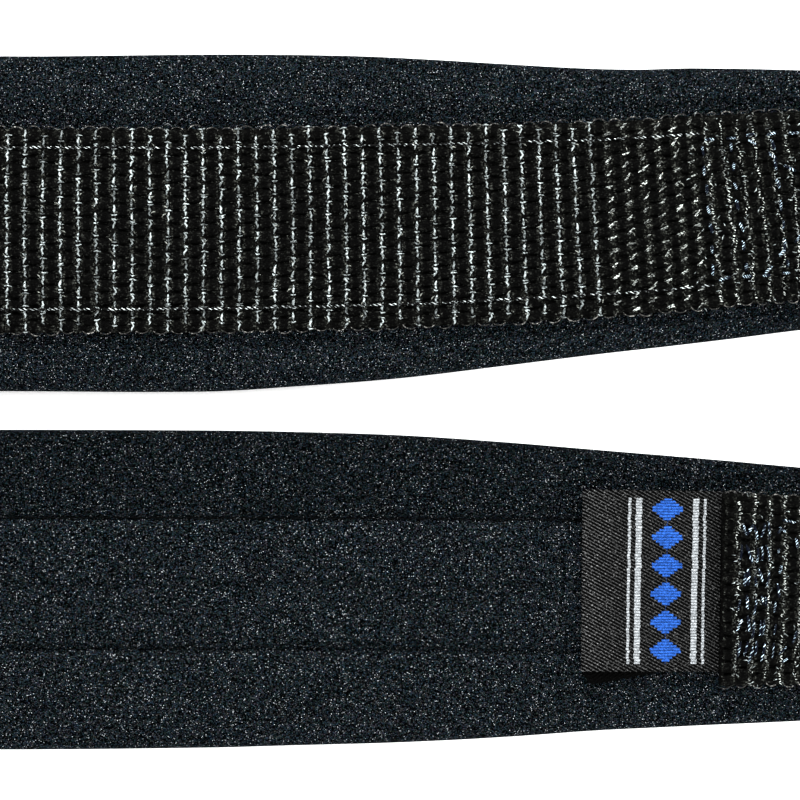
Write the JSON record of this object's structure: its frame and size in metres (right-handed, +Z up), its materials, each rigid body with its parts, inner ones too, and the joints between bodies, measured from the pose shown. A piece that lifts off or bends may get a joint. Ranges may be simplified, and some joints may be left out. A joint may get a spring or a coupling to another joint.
{
  "type": "saxophone strap",
  "caption": "Padded saxophone neck strap: foam pad with ribbed webbing on its outer face, a ring at each end, a narrow lower strap and an open hook, laid flat as a loop.",
  "frame": {"origin": "middle of the laid strap's outline, on the surface that it lies on", "axes": "+X from the neck bend towards the hook, +Y towards the leg that shows its outer face, +Z up from the surface"},
  "size_m": [0.559, 0.1292, 0.0612],
  "materials": {
    "neoprene": "matt knitted jersey on closed-cell foam",
    "webbing": "coarse ribbed weave with a slight gloss",
    "label_weave": "satin twill",
    "narrow_webbing": "fine flat weave",
    "moulded_plastic": "satin moulded"
  },
  "bodies": {
    "root": {"neoprene_pad": "neoprene", "webbing": "webbing", "label": "label_weave", "ring_a": "moulded_plastic", "ring_b": "moulded_plastic", "lower_strap": "narrow_webbing", "hook": "moulded_plastic"}
  },
  "joints": []
}
